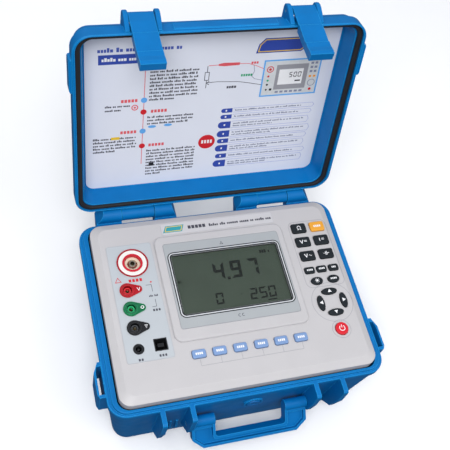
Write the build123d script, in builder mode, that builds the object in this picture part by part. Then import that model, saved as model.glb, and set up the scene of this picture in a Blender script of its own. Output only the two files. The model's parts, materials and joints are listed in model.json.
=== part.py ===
"""Insulation resistance tester in a hard carry case, as separate named pieces.

Frame: +Z up, +Y to the hinge side, origin at the centre of the case bottom.
The object is modelled as it stands in use: lid open, handle part way down.
All lengths are in millimetres.
"""
import os
from math import cos, radians, sin

from build123d import *

os.makedirs("parts", exist_ok=True)

# ---------------------------------------------------------------- case sizes
BASE_FOOT = (121.5, 91.1, 14.0)      # half width, half depth, corner radius at the bottom
BASE_SHOULDER = (130.3, 95.9, 16.0)  # the same just below the rim
BASE_RIM = (131.5, 97.1, 17.0)
RIM_LOW = 79.5
RIM_TOP = 86.0
BEAD = (127.8, 94.5, 13.5)           # raised sealing bead on the rim
BEAD_TOP = 89.0
FLOOR = 3.5
CAVITY_FOOT = (118.3, 87.9, 11.0)
CAVITY_TOP = (123.2, 92.0, 11.0)
BOTTOM_ROUND = 7.0

# ------------------------------------------------------------ lid and hinges
HINGE_Y = 105.4
HINGE_Z = 89.5
OPEN_ANGLE = 104.5                   # the lid leans back 14.5 degrees when open
SEAL_Z = 89.2                        # height of the gasket face when the lid is shut
SKIRT_LOW = -1.8                     # lid depths are measured outward from the gasket face
SKIRT_HIGH = 11.0
LID_TOP = 24.5
LID_SHOULDER = (129.6, 95.2, 15.0)
LID_CROWN = (126.8, 92.4, 13.0)
LID_CAVITY_MOUTH = (123.6, 92.6, 12.0)
LID_CAVITY_END = (119.4, 88.0, 9.0)
LID_CAVITY_DEPTH = 21.4
GASKET_OUT = (128.6, 95.6, 14.0)
GASKET_IN = (124.0, 92.3, 11.0)
GASKET_DEPTH = 3.0
BARREL_R = 7.3
LID_BARREL_R = 6.6
HINGE_PIN_R = 2.0
PIN_GAP = 0.05

# --------------------------------------------------------- latches and handle
FIN_X = (58.8, 85.5)                 # guard walls beside each latch
FIN_HALF = 2.2
EAR_X = (58.3, 85.3)
LATCH_X = 72.1
LATCH_WIDTH = 21.4
LATCH_PIVOT_Y = -102.2               # in the shut position
LATCH_PIVOT_W = 15.9
LATCH_LENGTH = 56.1
LATCH_PIN_R = 1.55
HANDLE_Y = -101.7
HANDLE_Z = 52.0
HANDLE_TILT = 43.0                   # below horizontal
HANDLE_HALF = 56.1
HANDLE_REACH = 27.4
HANDLE_PIN_R = 2.5
VALVE_X = 4.3
VALVE_Z = 57.3

# -------------------------------------------------------------- control panel
PANEL = (121.7, 90.6, 11.0)
PANEL_FLAT = (114.8, 83.8, 9.0)      # level middle of the panel, inside its sloping border
PANEL_EDGE = 95.0
PANEL_TOP = 98.4
PANEL_UNDER = 95.4
PANEL_SKIRT_LOW = 86.0
POST_X = 112.5
POST_Y = 81.5
POST_TOP = 69.8
PLATEAU_TOP = 101.0
LABEL_TOP = 98.8
KEY_TOP = 100.2
KEY_GAP = 0.35
KEY_FLANGE = 0.9
KEY_FOOT = 93.4
MAT_TOP = 92.0
BOARD = 1.6

WINDOW_AT = (2.8, 14.6)
WINDOW_HALF = (54.6, 32.4)
BEZEL_AT = (2.4, 14.3)
BEZEL_HALF = (58.6, 44.9)
JACK_LABEL_AT = (-88.1, 5.1)
JACK_LABEL_HALF = (21.7, 59.5)
JACK_X = -97.1
JACK_YS = {"red": 16.6, "green": -2.3, "black": -21.3}
LINE_AT = (-87.4, 44.2)
LINE_RING_R = 9.55
LINE_RING_IN = 7.7
LINE_CONTACT_R = 4.8
DC_AT = (-97.4, -41.8)
USB_AT = (-77.1, -40.5)
USB_SIZE = (12.0, 11.8)

# name: (x, y, width, depth, outline)
KEYS = {
    "key_ohm": (85.5, 59.2, 15.2, 10.6, "box"),
    "key_test": (105.2, 59.2, 15.2, 10.6, "box"),
    "key_ac_volts": (85.5, 43.3, 15.2, 10.6, "box"),
    "key_current": (105.2, 43.3, 15.2, 10.6, "box"),
    "key_dc_volts": (85.5, 27.3, 15.2, 10.6, "box"),
    "key_capacitance": (105.2, 27.3, 15.2, 10.6, "box"),
    "key_store": (82.6, 11.2, 10.2, 6.8, "box"),
    "key_recall": (95.2, 11.2, 10.2, 6.8, "box"),
    "key_clear": (107.9, 11.2, 10.2, 6.8, "box"),
    "key_backlight": (86.6, -1.0, 12.0, 8.0, "oval"),
    "key_mode": (104.0, -1.0, 12.0, 8.0, "oval"),
    "key_up": (95.3, -13.6, 15.8, 6.8, "oval"),
    "key_down": (95.3, -36.0, 15.8, 6.8, "oval"),
    "key_left": (83.6, -24.8, 6.8, 15.8, "oval"),
    "key_right": (107.0, -24.8, 6.8, 15.8, "oval"),
    "key_power": (95.5, -53.4, 12.6, 12.6, "round"),
    "key_f1": (-45.1, -55.3, 12.8, 8.0, "box"),
    "key_f2": (-25.7, -55.3, 12.8, 8.0, "box"),
    "key_f3": (-6.1, -55.3, 12.8, 8.0, "box"),
    "key_f4": (14.0, -55.3, 12.8, 8.0, "box"),
    "key_f5": (33.5, -55.3, 12.8, 8.0, "box"),
    "key_f6": (53.1, -55.3, 12.8, 8.0, "box"),
}

# ------------------------------------------------------------ working frames
turn = radians(OPEN_ANGLE)
# a point of the shut lid, relative to the hinge line, turned to the open place
lid_origin_y = HINGE_Y - HINGE_Y * cos(turn) + (SEAL_Z - HINGE_Z) * sin(turn)
lid_origin_z = HINGE_Z + HINGE_Y * sin(turn) + (SEAL_Z - HINGE_Z) * cos(turn)
lid_out = (0, sin(turn), cos(turn))
lid_back = (0, cos(turn), -sin(turn))
LID = Plane(origin=(0, lid_origin_y, lid_origin_z), x_dir=(1, 0, 0), z_dir=lid_out)


def lid_side(x):
    """Plane across the lid at width x: first axis to the hinge, second axis outward."""
    return Plane(origin=(x, lid_origin_y, lid_origin_z), x_dir=lid_back, z_dir=(1, 0, 0))


def on_lid(y, w):
    """World Y and Z of a lid point given by its shut Y and its depth w."""
    return (
        lid_origin_y + y * lid_back[1] + w * lid_out[1],
        lid_origin_z + y * lid_back[2] + w * lid_out[2],
    )


tilt = radians(HANDLE_TILT)
HANDLE = Plane(origin=(0, HANDLE_Y, HANDLE_Z), x_dir=(1, 0, 0), z_dir=(0, -sin(tilt), cos(tilt)))


# ------------------------------------------------------------------- helpers
def slab(frame, size, low, high, mode=Mode.ADD, at=(0, 0)):
    """Flat plate with rounded corners; size is half width, half depth, radius."""
    with BuildSketch(frame.offset(low)) as outline:
        with Locations(at):
            RectangleRounded(2 * size[0], 2 * size[1], size[2])
    extrude(outline.sketch, amount=high - low, mode=mode)


def tapered(frame, first, last, low, high, mode=Mode.ADD):
    """Block whose rounded outline changes evenly from first to last."""
    with BuildSketch(frame.offset(low)) as low_outline:
        RectangleRounded(2 * first[0], 2 * first[1], first[2])
    with BuildSketch(frame.offset(high)) as high_outline:
        RectangleRounded(2 * last[0], 2 * last[1], last[2])
    loft(sections=[low_outline.sketch, high_outline.sketch], mode=mode)


def profile(plane, points, width, mode=Mode.ADD):
    """Prism from a closed outline on the plane."""
    with BuildSketch(plane) as outline:
        with BuildLine():
            Polyline(*points, close=True)
        make_face()
    extrude(outline.sketch, amount=width, mode=mode)


def rod(plane, at, radius, length, mode=Mode.ADD):
    """Round bar or hole starting on the plane."""
    with BuildSketch(plane) as outline:
        with Locations(at):
            Circle(radius)
    extrude(outline.sketch, amount=length, mode=mode)


def key_outline(width, depth, outline, grow=0.0):
    """Outline of a key cap, grown all round by grow."""
    wide = width + 2 * grow
    deep = depth + 2 * grow
    if outline == "box":
        RectangleRounded(wide, deep, 1.9 + grow)
    elif outline == "round":
        Circle(wide / 2)
    else:
        Ellipse(wide / 2, deep / 2)


def save(part, name):
    """Label one piece and write it to its own file."""
    part.label = name
    export_step(part, f"parts/{name}.step")


# ================================================================= case base
with BuildPart() as case_base:
    tapered(Plane.XY, BASE_FOOT, BASE_SHOULDER, 0, RIM_LOW)
    fillet(case_base.edges().group_by(Axis.Z)[0], BOTTOM_ROUND)
    slab(Plane.XY, BASE_RIM, RIM_LOW, RIM_TOP)
    chamfer(case_base.edges().group_by(Axis.Z)[-1], 0.7)
    slab(Plane.XY, BEAD, RIM_TOP, BEAD_TOP)
    fillet(case_base.edges().group_by(Axis.Z)[-1], 0.8)
    # guard walls beside the latches; the inner pair also carries the handle
    for x, tip_y, tip_z, foot_z in ((FIN_X[0], -109.2, 45.0, 24.0), (FIN_X[1], -106.8, 36.6, 17.0)):
        profile(
            Plane.YZ.offset(x - FIN_HALF),
            [
                (-93.5, RIM_TOP),
                (-108.6, RIM_TOP),
                (-110.4, RIM_TOP - 0.8),
                (-111.2, RIM_TOP - 2.6),
                (-111.2, 64.0),
                (tip_y, tip_z + 2.5),
                (tip_y + 2.2, tip_z),
                (-90.8, foot_z),
                (-92.0, 50.0),
            ],
            2 * FIN_HALF,
        )
    # short strengthening teeth between the guard walls, near the bottom
    for x in (66.0, 72.1, 78.2):
        profile(
            Plane.YZ.offset(x - 1.1),
            [(-90.6, 40.0), (-94.4, 40.0), (-96.6, 26.0), (-90.2, 14.0)],
            2.2,
        )
    # strap eye on the side wall
    profile(
        Plane.XY.offset(54.9),
        [(124.6, -42.0), (134.2, -42.6), (138.4, -52.0), (138.4, -72.0), (136.6, -75.8), (124.6, -75.8)],
        30.5,
    )
    profile(
        Plane.XY.offset(50.0),
        [(131.7, -46.5), (135.2, -46.5), (136.5, -52.0), (136.5, -72.8), (131.7, -72.8)],
        40.0,
        mode=Mode.SUBTRACT,
    )
    # outer hinge knuckles with their gussets
    for x0, x1 in ((31.7, 54.0), (87.2, 112.2)):
        with BuildSketch(Plane.YZ.offset(x0)):
            with Locations((HINGE_Y, HINGE_Z)):
                Circle(BARREL_R)
            with BuildLine():
                Polyline(
                    (94.0, RIM_TOP),
                    (98.3, RIM_TOP),
                    (98.3, HINGE_Z),
                    (112.6, HINGE_Z),
                    (110.4, 84.0),
                    (94.4, 66.0),
                    close=True,
                )
            make_face()
        extrude(amount=x1 - x0)
    # slanted knuckle ends
    for points in (
        [(112.3, 86.0), (112.3, 100.0), (102.7, 100.0)],
        [(31.6, 86.0), (31.6, 100.0), (38.0, 100.0)],
    ):
        profile(Plane.XZ.offset(-97.4), points, -18.0, mode=Mode.SUBTRACT)
    rod(Plane.YZ.offset(34.8), (HINGE_Y, HINGE_Z), HINGE_PIN_R + PIN_GAP, 73.4, mode=Mode.SUBTRACT)
    rod(
        Plane.YZ.offset(FIN_X[0] - 4.0),
        (HANDLE_Y, HANDLE_Z),
        HANDLE_PIN_R + PIN_GAP,
        8.0,
        mode=Mode.SUBTRACT,
    )
    mirror(about=Plane.YZ)
    # seat of the pressure valve on the front wall
    rod(Plane.XZ.offset(92.0), (VALVE_X, VALVE_Z), 9.2, 4.4)
    tapered(Plane.XY, CAVITY_FOOT, CAVITY_TOP, FLOOR, BEAD_TOP + 0.1, mode=Mode.SUBTRACT)
    rod(Plane.XZ.offset(94.6), (VALVE_X, VALVE_Z), 7.4, 3.0, mode=Mode.SUBTRACT)
    rod(Plane.XZ.offset(80.0), (VALVE_X, VALVE_Z), 3.1, 16.0, mode=Mode.SUBTRACT)
    # posts that carry the control panel, with screw wells from below
    with BuildSketch(Plane.XY.offset(FLOOR - 1.0)):
        with GridLocations(2 * POST_X, 2 * POST_Y, 2, 2):
            Circle(6.6)
    extrude(amount=POST_TOP - FLOOR + 1.0)
    with BuildSketch(Plane.XY):
        with GridLocations(2 * POST_X, 2 * POST_Y, 2, 2):
            Circle(4.4)
    extrude(amount=58.0, mode=Mode.SUBTRACT)
    with BuildSketch(Plane.XY.offset(57.0)):
        with GridLocations(2 * POST_X, 2 * POST_Y, 2, 2):
            Circle(2.3)
    extrude(amount=14.0, mode=Mode.SUBTRACT)
    # posts for the main board
    with BuildSketch(Plane.XY.offset(FLOOR - 0.5)):
        with Locations((-44.0, 66.0), (104.0, 66.0), (-44.0, -66.0), (104.0, -66.0)):
            Circle(3.6)
    extrude(amount=46.5)
save(case_base.part, "case_base")

with BuildPart() as hinge_pins:
    for x in (35.0, -107.9):
        rod(Plane.YZ.offset(x), (HINGE_Y, HINGE_Z), HINGE_PIN_R, 72.9)
save(hinge_pins.part, "hinge_pins")

with BuildPart() as pressure_valve:
    rod(Plane.XZ.offset(94.7), (VALVE_X, VALVE_Z), 6.9, 2.7)
    fillet(pressure_valve.edges().group_by(Axis.Y)[0], 0.9)
    rod(Plane.XZ.offset(87.5), (VALVE_X, VALVE_Z), 2.9, 8.0)
    with BuildSketch(Plane.XZ.offset(96.4)):
        with Locations((VALVE_X, VALVE_Z)):
            Rectangle(9.0, 1.5)
    extrude(amount=2.0, mode=Mode.SUBTRACT)
save(pressure_valve.part, "pressure_valve")

with BuildPart() as case_screws:
    with BuildSketch(Plane.XY.offset(55.0)):
        with GridLocations(2 * POST_X, 2 * POST_Y, 2, 2):
            Circle(3.8)
    extrude(amount=3.0)
    with BuildSketch(Plane.XY.offset(57.5)):
        with GridLocations(2 * POST_X, 2 * POST_Y, 2, 2):
            Circle(2.0)
    extrude(amount=24.0)
    with BuildSketch(Plane.XY.offset(54.0)):
        with GridLocations(2 * POST_X, 2 * POST_Y, 2, 2):
            RegularPolygon(1.6, 6)
    extrude(amount=2.6, mode=Mode.SUBTRACT)
save(case_screws.part, "case_screws")

# ======================================================================= lid
# rounded cheeks that hold the right latch pin
with BuildPart() as latch_cheeks:
    for x in EAR_X:
        profile(
            lid_side(x - FIN_HALF),
            [
                (-95.6, -0.2),
                (-98.6, -0.2),
                (-106.8, 11.2),
                (-108.0, 14.2),
                (-108.0, 17.6),
                (-106.6, 20.4),
                (-104.0, 21.9),
                (-90.0, 23.4),
                (-90.0, 13.0),
                (-93.0, 8.0),
                (-93.0, 3.6),
                (-95.6, 3.6),
            ],
            2 * FIN_HALF,
        )
    fillet(latch_cheeks.faces().filter_by(Axis.X).edges(), 1.2)

with BuildPart() as case_lid:
    tapered(LID, LID_SHOULDER, LID_CROWN, SKIRT_HIGH - 0.5, LID_TOP)
    fillet(case_lid.faces().sort_by(Axis(LID.origin, lid_out))[-1].edges(), 4.5)
    slab(LID, BASE_RIM, SKIRT_LOW, SKIRT_HIGH)
    chamfer(case_lid.faces().sort_by(Axis(LID.origin, lid_out))[0].edges(), 0.7)
    tapered(LID, LID_CAVITY_MOUTH, LID_CAVITY_END, SKIRT_LOW - 0.1, LID_CAVITY_DEPTH, mode=Mode.SUBTRACT)
    # step that holds the gasket
    slab(LID, GASKET_OUT, SKIRT_LOW - 0.1, GASKET_DEPTH, mode=Mode.SUBTRACT)
    add(latch_cheeks.part)
    # side ribs that line up with the strap eyes
    profile(
        LID.offset(SKIRT_LOW + 0.8),
        [(129.0, -41.2), (133.0, -42.2), (134.0, -44.0), (134.0, -72.6), (133.0, -74.4), (129.0, -74.8)],
        SKIRT_HIGH - SKIRT_LOW - 0.8,
    )
    # middle hinge knuckle with its arm
    with BuildSketch(lid_side(54.5)):
        with Locations((HINGE_Y, HINGE_Z - SEAL_Z)):
            Circle(LID_BARREL_R)
        with BuildLine():
            Polyline(
                (96.4, 0.3),
                (105.4, 0.3),
                (111.2, 3.4),
                (104.0, 9.8),
                (92.0, 18.0),
                (92.0, 4.2),
                (96.4, 4.2),
                close=True,
            )
        make_face()
    extrude(amount=32.2)
    rod(
        lid_side(53.0),
        (HINGE_Y, HINGE_Z - SEAL_Z),
        HINGE_PIN_R + PIN_GAP,
        35.0,
        mode=Mode.SUBTRACT,
    )
    rod(
        lid_side(54.0),
        (LATCH_PIVOT_Y, LATCH_PIVOT_W),
        LATCH_PIN_R + PIN_GAP,
        36.0,
        mode=Mode.SUBTRACT,
    )
    mirror(about=Plane.YZ)
    # stiffening band along the front of the lid between the latches
    slab(lid_side(-46.0), (1.2, 4.6, 0.8), 0, 92.0, at=(-97.0, 6.6))
save(case_lid.part, "case_lid")

with BuildPart() as lid_gasket:
    with BuildSketch(LID):
        RectangleRounded(2 * GASKET_OUT[0], 2 * GASKET_OUT[1], GASKET_OUT[2])
        RectangleRounded(2 * GASKET_IN[0], 2 * GASKET_IN[1], GASKET_IN[2], mode=Mode.SUBTRACT)
    extrude(amount=GASKET_DEPTH)
    fillet(lid_gasket.faces().sort_by(Axis(LID.origin, lid_out))[0].edges(), 1.0)
save(lid_gasket.part, "lid_gasket")

with BuildPart() as lid_label:
    slab(LID, (118.0, 86.8, 8.0), LID_CAVITY_DEPTH - 0.3, LID_CAVITY_DEPTH)
save(lid_label.part, "lid_label")

# =================================================================== latches
pivot_y, pivot_z = on_lid(LATCH_PIVOT_Y, LATCH_PIVOT_W)


def latch(side):
    """Draw latch held straight out from its pin; side is -1 for left, 1 for right."""
    start = side * LATCH_X - LATCH_WIDTH / 2
    with BuildPart() as piece:
        with BuildSketch(Plane.YZ.offset(start)):
            with Locations((pivot_y, pivot_z)):
                Circle(4.0)
            with BuildLine():
                Polyline(
                    (pivot_y, pivot_z + 4.0),
                    (pivot_y - 9.0, pivot_z + 4.1),
                    (pivot_y - 21.0, pivot_z + 3.0),
                    (pivot_y - 21.5, pivot_z + 3.9),
                    (pivot_y - 41.0, pivot_z + 2.7),
                    (pivot_y - 41.6, pivot_z + 3.7),
                    (pivot_y - 47.0, pivot_z + 3.5),
                    (pivot_y - LATCH_LENGTH + 3.5, pivot_z + 4.6),
                    (pivot_y - LATCH_LENGTH, pivot_z + 4.2),
                    (pivot_y - LATCH_LENGTH, pivot_z - 3.2),
                    (pivot_y - LATCH_LENGTH + 0.8, pivot_z - 3.9),
                    (pivot_y - 22.0, pivot_z - 3.9),
                    (pivot_y - 20.4, pivot_z + 1.6),
                    (pivot_y, pivot_z + 1.6),
                    close=True,
                )
            make_face()
        extrude(amount=LATCH_WIDTH)
        # hollow underside
        with BuildSketch(Plane.YZ.offset(start + 2.0)):
            with BuildLine():
                Polyline(
                    (pivot_y - 24.2, pivot_z - 5.0),
                    (pivot_y - LATCH_LENGTH + 2.6, pivot_z - 5.0),
                    (pivot_y - LATCH_LENGTH + 2.6, pivot_z + 1.4),
                    (pivot_y - 24.2, pivot_z + 1.4),
                    close=True,
                )
            make_face()
        extrude(amount=LATCH_WIDTH - 4.0, mode=Mode.SUBTRACT)
        # tooth that catches under the rim of the base
        with BuildSketch(Plane.YZ.offset(start + 3.0)):
            with BuildLine():
                Polyline(
                    (pivot_y - 25.8, pivot_z - 6.0),
                    (pivot_y - 27.2, pivot_z - 6.0),
                    (pivot_y - 31.0, pivot_z - 3.4),
                    (pivot_y - 31.0, pivot_z + 1.6),
                    (pivot_y - 25.8, pivot_z + 1.6),
                    close=True,
                )
            make_face()
        extrude(amount=LATCH_WIDTH - 6.0)
        rod(
            Plane.YZ.offset(start - 1.0),
            (pivot_y, pivot_z),
            LATCH_PIN_R + PIN_GAP,
            LATCH_WIDTH + 2.0,
            mode=Mode.SUBTRACT,
        )
    return piece.part


def latch_pin(side):
    """Steel pin across one pair of cheeks."""
    start = side * (EAR_X[0] + EAR_X[1]) / 2 - 15.4
    with BuildPart() as piece:
        rod(Plane.YZ.offset(start), (pivot_y, pivot_z), LATCH_PIN_R, 30.8)
    return piece.part


for side_name, side_sign in (("left", -1), ("right", 1)):
    save(latch(side_sign), f"latch_{side_name}")
    save(latch_pin(side_sign), f"latch_pin_{side_name}")

# ==================================================================== handle
GRIP_IN = 17.0
OPENING_HALF = 34.2
HANDLE_BACK = -7.3
HANDLE_FACE = 1.4
INNER_FACE = 3.6
WEB_FACE = -2.4
FLANGE = 2.5
CORNER = 10.0

with BuildPart() as carry_handle:
    outer = [
        (-HANDLE_HALF, 3.5),
        (-HANDLE_HALF, -HANDLE_REACH + CORNER - 1.0),
        (-HANDLE_HALF + CORNER, -HANDLE_REACH),
        (HANDLE_HALF - CORNER, -HANDLE_REACH),
        (HANDLE_HALF, -HANDLE_REACH + CORNER - 1.0),
        (HANDLE_HALF, 3.5),
    ]
    profile(HANDLE.offset(HANDLE_BACK), outer, HANDLE_FACE - HANDLE_BACK)
    # raised rim round the finger opening
    with BuildSketch(HANDLE.offset(HANDLE_BACK)):
        with Locations((0, -GRIP_IN / 2)):
            RectangleRounded(2 * OPENING_HALF + 2 * FLANGE, GRIP_IN + 2 * FLANGE, 3.2)
    extrude(amount=INNER_FACE - HANDLE_BACK)
    # recess between the outer and inner rims
    with BuildSketch(HANDLE.offset(WEB_FACE)):
        with BuildLine():
            Polyline(
                (-HANDLE_HALF + FLANGE, -8.0),
                (-HANDLE_HALF + FLANGE, -HANDLE_REACH + CORNER),
                (-HANDLE_HALF + CORNER + 0.8, -HANDLE_REACH + FLANGE),
                (HANDLE_HALF - CORNER - 0.8, -HANDLE_REACH + FLANGE),
                (HANDLE_HALF - FLANGE, -HANDLE_REACH + CORNER),
                (HANDLE_HALF - FLANGE, -8.0),
                close=True,
            )
        make_face()
        with Locations((0, -GRIP_IN / 2 + 4.0)):
            RectangleRounded(
                2 * OPENING_HALF + 2 * FLANGE, GRIP_IN + 2 * FLANGE + 8.0, 3.2, mode=Mode.SUBTRACT
            )
    extrude(amount=10.0, mode=Mode.SUBTRACT)
    # finger opening, open toward the case
    with BuildSketch(HANDLE.offset(HANDLE_BACK - 1.0)):
        with Locations((0, -GRIP_IN / 2 + 6.0)):
            RectangleRounded(2 * OPENING_HALF, GRIP_IN + 12.0, 3.0)
    extrude(amount=20.0, mode=Mode.SUBTRACT)
    # trim the arm ends to round hubs
    with BuildSketch(Plane.YZ.offset(-HANDLE_HALF - 1.0)) as hub_trim:
        with Locations((HANDLE_Y, HANDLE_Z)):
            Rectangle(26.0, 26.0, rotation=HANDLE_TILT, align=(Align.MIN, Align.CENTER))
            Circle(5.4, mode=Mode.SUBTRACT)
    extrude(amount=2 * HANDLE_HALF + 2.0, mode=Mode.SUBTRACT)
    with BuildSketch(Plane.YZ.offset(-HANDLE_HALF)):
        with Locations((HANDLE_Y, HANDLE_Z)):
            Circle(5.4)
    extrude(amount=HANDLE_HALF - OPENING_HALF)
    with BuildSketch(Plane.YZ.offset(OPENING_HALF)):
        with Locations((HANDLE_Y, HANDLE_Z)):
            Circle(5.4)
    extrude(amount=HANDLE_HALF - OPENING_HALF)
    for x in (-HANDLE_HALF, HANDLE_HALF - 11.0):
        rod(
            Plane.YZ.offset(x),
            (HANDLE_Y, HANDLE_Z),
            HANDLE_PIN_R + PIN_GAP,
            11.0,
            mode=Mode.SUBTRACT,
        )
save(carry_handle.part, "carry_handle")

with BuildPart() as handle_pins:
    for x in (-60.9, 45.4):
        rod(Plane.YZ.offset(x), (HANDLE_Y, HANDLE_Z), HANDLE_PIN_R, 15.5)
save(handle_pins.part, "handle_pins")

# ============================================================= control panel
with BuildPart() as front_panel:
    slab(Plane.XY, PANEL, PANEL_SKIRT_LOW, PANEL_EDGE)
    tapered(Plane.XY, PANEL, PANEL_FLAT, PANEL_EDGE, PANEL_TOP)
    slab(Plane.XY, (65.4, 55.0, 8.0), PANEL_TOP, PLATEAU_TOP, at=(1.6, 12.8))
    fillet(front_panel.edges().group_by(Axis.Z)[-1], 1.8)
    slab(Plane.XY, (119.4, 88.5, 8.5), PANEL_SKIRT_LOW, PANEL_UNDER, mode=Mode.SUBTRACT)
    slab(Plane.XY, (61.0, 49.0, 6.0), PANEL_UNDER - 1, 98.2, mode=Mode.SUBTRACT, at=(1.6, 12.8))
    slab(
        Plane.XY,
        (BEZEL_HALF[0], BEZEL_HALF[1], 2.6),
        PLATEAU_TOP - 0.8,
        PLATEAU_TOP + 1,
        mode=Mode.SUBTRACT,
        at=BEZEL_AT,
    )
    slab(Plane.XY, (*WINDOW_HALF, 3.0), 90.0, 103.0, mode=Mode.SUBTRACT, at=WINDOW_AT)
    with BuildSketch(Plane.XY.offset(POST_TOP)):
        with GridLocations(2 * POST_X, 2 * POST_Y, 2, 2):
            Circle(4.8)
    extrude(amount=PANEL_UNDER - POST_TOP + 1.0)
    with BuildSketch(Plane.XY.offset(POST_TOP)):
        with GridLocations(2 * POST_X, 2 * POST_Y, 2, 2):
            Circle(2.05)
    extrude(amount=13.0, mode=Mode.SUBTRACT)
    # openings for keys
    with BuildSketch(Plane.XY.offset(PANEL_UNDER - 1.0)):
        for x, y, width, depth, outline in KEYS.values():
            with Locations((x, y)):
                key_outline(width, depth, outline, KEY_GAP)
    extrude(amount=6.0, mode=Mode.SUBTRACT)
    # openings for sockets
    with BuildSketch(Plane.XY.offset(PANEL_UNDER - 1.0)):
        with Locations(*[(JACK_X, y) for y in JACK_YS.values()]):
            Circle(6.1)
        with Locations(LINE_AT):
            Circle(12.1)
        with Locations(DC_AT):
            Circle(5.1)
        with Locations(USB_AT):
            Rectangle(USB_SIZE[0] + 0.2, USB_SIZE[1] + 0.2)
    extrude(amount=6.0, mode=Mode.SUBTRACT)
save(front_panel.part, "front_panel")

with BuildPart() as title_strip:
    slab(Plane.XY, (57.9, 6.6, 1.2), PANEL_TOP, PANEL_TOP + 0.3, at=(4.3, 76.4))
save(title_strip.part, "title_strip")

with BuildPart() as jack_label:
    slab(Plane.XY, (*JACK_LABEL_HALF, 2.4), PANEL_TOP, LABEL_TOP, at=JACK_LABEL_AT)
    with BuildSketch(Plane.XY.offset(PANEL_TOP)):
        with Locations(*[(JACK_X, y) for y in JACK_YS.values()]):
            Circle(6.1)
        with Locations(LINE_AT):
            Circle(12.1)
        with Locations(DC_AT):
            Circle(5.1)
        with Locations(USB_AT):
            Rectangle(USB_SIZE[0] + 0.2, USB_SIZE[1] + 0.2)
    extrude(amount=1.0, mode=Mode.SUBTRACT)
save(jack_label.part, "jack_label")

with BuildPart() as display_bezel:
    slab(
        Plane.XY,
        (BEZEL_HALF[0] - 0.1, BEZEL_HALF[1] - 0.1, 2.5),
        PLATEAU_TOP - 0.8,
        PLATEAU_TOP - 0.05,
        at=BEZEL_AT,
    )
    slab(
        Plane.XY,
        (WINDOW_HALF[0] - 1.2, WINDOW_HALF[1] - 1.2, 2.4),
        PLATEAU_TOP - 1,
        PLATEAU_TOP + 1,
        mode=Mode.SUBTRACT,
        at=WINDOW_AT,
    )
save(display_bezel.part, "display_bezel")

with BuildPart() as display_window:
    slab(
        Plane.XY,
        (WINDOW_HALF[0] - 0.2, WINDOW_HALF[1] - 0.2, 2.8),
        98.7,
        PLATEAU_TOP - 0.85,
        at=WINDOW_AT,
    )
save(display_window.part, "display_window")

with BuildPart() as lcd_glass:
    slab(Plane.XY, (53.2, 31.0, 0.5), 96.6, 98.6, at=WINDOW_AT)
save(lcd_glass.part, "lcd_glass")

with BuildPart() as lcd_holder:
    slab(Plane.XY, (56.4, 35.4, 1.5), 90.6, 97.6, at=WINDOW_AT)
    slab(Plane.XY, (53.3, 31.1, 0.5), 96.5, 98.0, mode=Mode.SUBTRACT, at=WINDOW_AT)
    with BuildSketch(Plane.XY.offset(90.6)):
        with Locations(WINDOW_AT):
            with GridLocations(104.0, 66.0, 2, 2):
                Circle(1.2)
    extrude(amount=10.0, mode=Mode.SUBTRACT)
save(lcd_holder.part, "lcd_holder")

# =================================================================== sockets
def jack(y, name):
    """Shrouded test-lead socket with a drop-shaped plate."""
    with BuildPart() as piece:
        with BuildSketch(Plane.XY.offset(LABEL_TOP)):
            with Locations((JACK_X, y)):
                Circle(7.3)
            with Locations((JACK_X + 10.1, y)):
                Circle(3.6)
            with BuildLine():
                Polyline(
                    (JACK_X + 2.3, y + 6.9),
                    (JACK_X + 11.2, y + 3.4),
                    (JACK_X + 11.2, y - 3.4),
                    (JACK_X + 2.3, y - 6.9),
                    close=True,
                )
            make_face()
        extrude(amount=0.9)
        rod(Plane.XY.offset(78.0), (JACK_X, y), 5.9, 22.9)
        fillet(piece.edges().group_by(Axis.Z)[-1], 0.7)
        rod(Plane.XY.offset(80.0), (JACK_X, y), 4.2, 22.0, mode=Mode.SUBTRACT)
        rod(Plane.XY.offset(77.0), (JACK_X, y), 2.0, 4.0, mode=Mode.SUBTRACT)
    save(piece.part, name)


for colour, jack_y in JACK_YS.items():
    jack(jack_y, f"jack_{colour}")

with BuildPart() as jack_contacts:
    for jack_y in JACK_YS.values():
        rod(Plane.XY.offset(80.0), (JACK_X, jack_y), 3.0, 14.6)
        rod(Plane.XY.offset(70.0), (JACK_X, jack_y), 1.95, 11.0)
        rod(Plane.XY.offset(82.0), (JACK_X, jack_y), 2.05, 20.0, mode=Mode.SUBTRACT)
save(jack_contacts.part, "jack_contacts")

with BuildPart() as jack_nuts:
    for jack_y in JACK_YS.values():
        with BuildSketch(Plane.XY.offset(91.6)):
            with Locations((JACK_X, jack_y)):
                RegularPolygon(8.6, 6)
                Circle(5.95, mode=Mode.SUBTRACT)
        extrude(amount=PANEL_UNDER - 91.6)
save(jack_nuts.part, "jack_nuts")

with BuildPart() as line_socket_body:
    rod(Plane.XY.offset(LABEL_TOP), LINE_AT, 14.9, 0.9)
    fillet(line_socket_body.edges().group_by(Axis.Z)[-1], 0.4)
    rod(Plane.XY.offset(76.0), LINE_AT, 11.9, LABEL_TOP - 75.6)
    rod(Plane.XY.offset(79.0), LINE_AT, LINE_RING_R + PIN_GAP, 22.0, mode=Mode.SUBTRACT)
    rod(Plane.XY.offset(75.0), LINE_AT, 2.5, 6.0, mode=Mode.SUBTRACT)
save(line_socket_body.part, "line_socket_body")

with BuildPart() as line_socket_ring:
    rod(Plane.XY.offset(79.0), LINE_AT, LINE_RING_R, 21.4)
    fillet(line_socket_ring.edges().group_by(Axis.Z)[-1], 0.5)
    rod(Plane.XY.offset(78.0), LINE_AT, LINE_RING_IN, 24.0, mode=Mode.SUBTRACT)
save(line_socket_ring.part, "line_socket_ring")

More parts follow.
